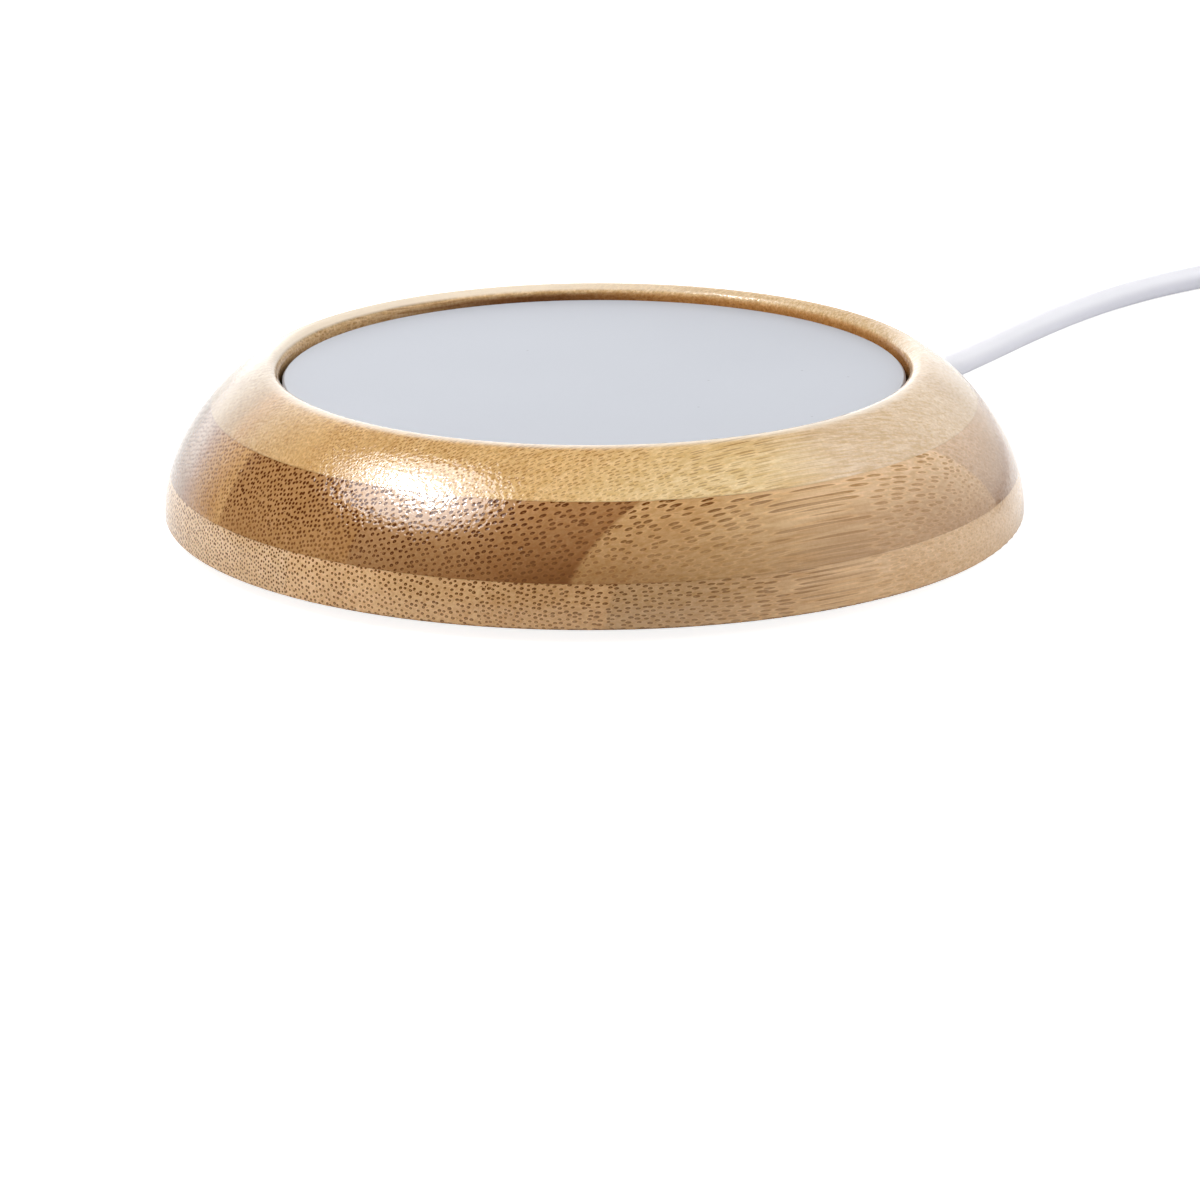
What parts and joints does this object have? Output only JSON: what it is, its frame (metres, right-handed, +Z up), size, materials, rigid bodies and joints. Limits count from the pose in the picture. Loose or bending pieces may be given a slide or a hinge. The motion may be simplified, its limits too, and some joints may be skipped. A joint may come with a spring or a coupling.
{
  "type": "electric mug warmer",
  "caption": "Low domed bamboo ring with a flush round heating plate, rubber feet under a screwed base cover, and a thin white USB cord that leaves at the back.",
  "frame": {"origin": "on the table under the centre of the round body, at the lowest point of the feet; the free cord, its coil, its boot and its plug are left out of that centre", "axes": "+Z up along the body's axis, +Y towards the back where the cord leaves, +X to the right; the picture looks from azimuth 36 degrees, 16 degrees above the table"},
  "size_m": [0.1248, 0.2362, 0.02],
  "materials": {
    "bamboo_light": "clear lacquer, semi-gloss",
    "bamboo_dark": "clear lacquer, semi-gloss",
    "plate_grey": "fine blasted, matte",
    "silicone": "matte",
    "film_amber": "smooth",
    "track_foil": "etched foil",
    "pad_white": "fibre felt",
    "thermostat_black": "moulded",
    "fuse_metal": "drawn can",
    "sleeve_white": "woven glass fibre",
    "carrier_black": "moulded, matte",
    "cover_black": "fine texture",
    "screw_steel": "zinc plated",
    "foot_rubber": "matte",
    "cord_white": "smooth PVC, satin",
    "lead_red": "silicone insulation",
    "lead_white": "silicone insulation",
    "plug_white": "moulded, satin",
    "plug_shell": "nickel plated",
    "contact_gold": "gold flash"
  },
  "bodies": {
    "root": {"bamboo_bottom_ply": "bamboo_light", "bamboo_middle_ply": "bamboo_dark", "bamboo_top_ply": "bamboo_light", "heating_plate": "plate_grey", "plate_seal": "silicone", "heater_film": "film_amber", "heater_track": "track_foil", "insulation_pad": "pad_white", "thermostat": "thermostat_black", "thermal_fuse": "fuse_metal", "fuse_sleeve": "sleeve_white", "heater_carrier": "carrier_black", "plate_screws": "screw_steel", "carrier_screws": "screw_steel", "base_screws": "screw_steel", "clamp_screws": "screw_steel", "base_cover": "cover_black", "rubber_foot_1": "foot_rubber", "rubber_foot_2": "foot_rubber", "rubber_foot_3": "foot_rubber", "rubber_foot_4": "foot_rubber", "strain_relief": "cord_white", "cord_clamp": "carrier_black", "usb_cord_inner_end": "cord_white", "supply_lead": "lead_red", "link_lead": "lead_red", "heater_lead": "lead_red", "return_lead": "lead_white", "usb_cord": "cord_white", "usb_cord_coil": "cord_white", "usb_cord_tail": "cord_white", "usb_plug_body": "plug_white", "usb_plug_shell": "plug_shell", "usb_plug_tongue": "plug_white", "usb_plug_contacts": "contact_gold"}
  },
  "joints": []
}
